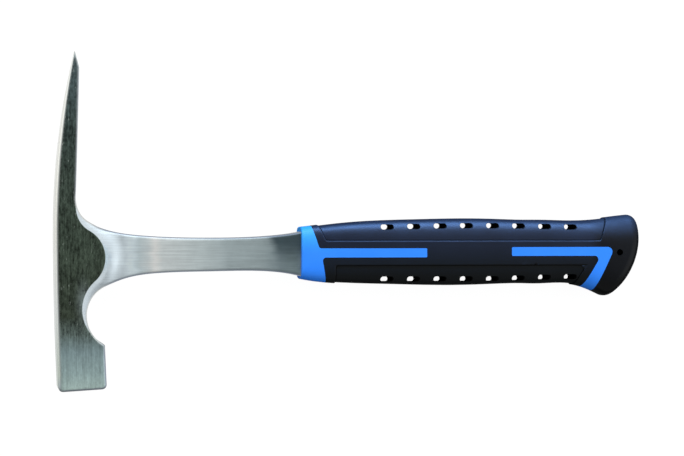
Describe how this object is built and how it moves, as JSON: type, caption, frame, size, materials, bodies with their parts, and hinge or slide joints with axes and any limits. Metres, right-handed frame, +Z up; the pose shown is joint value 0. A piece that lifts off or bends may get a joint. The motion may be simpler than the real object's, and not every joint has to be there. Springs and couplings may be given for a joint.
{
  "type": "rock hammer",
  "caption": "One-piece forged steel rock hammer with a square striking poll, a curved pointed pick and a two-material moulded handle with through slots.",
  "frame": {"origin": "under the middle of the bounding box, on the surface the hammer lies on", "axes": "+X along the handle from the head to the butt, +Y from the striking poll to the pick, +Z up across the thickness of the hammer lying on its side"},
  "size_m": [0.3133, 0.1764, 0.025],
  "materials": {
    "steel": "ground cheeks and brushed neck, clear lacquered",
    "core_plastic": "satin blue hard plastic",
    "grip_rubber": "fine matte texture"
  },
  "bodies": {
    "root": {"forged_head_and_shank": "steel", "handle_core": "core_plastic", "grip_overmould": "grip_rubber"}
  },
  "joints": []
}
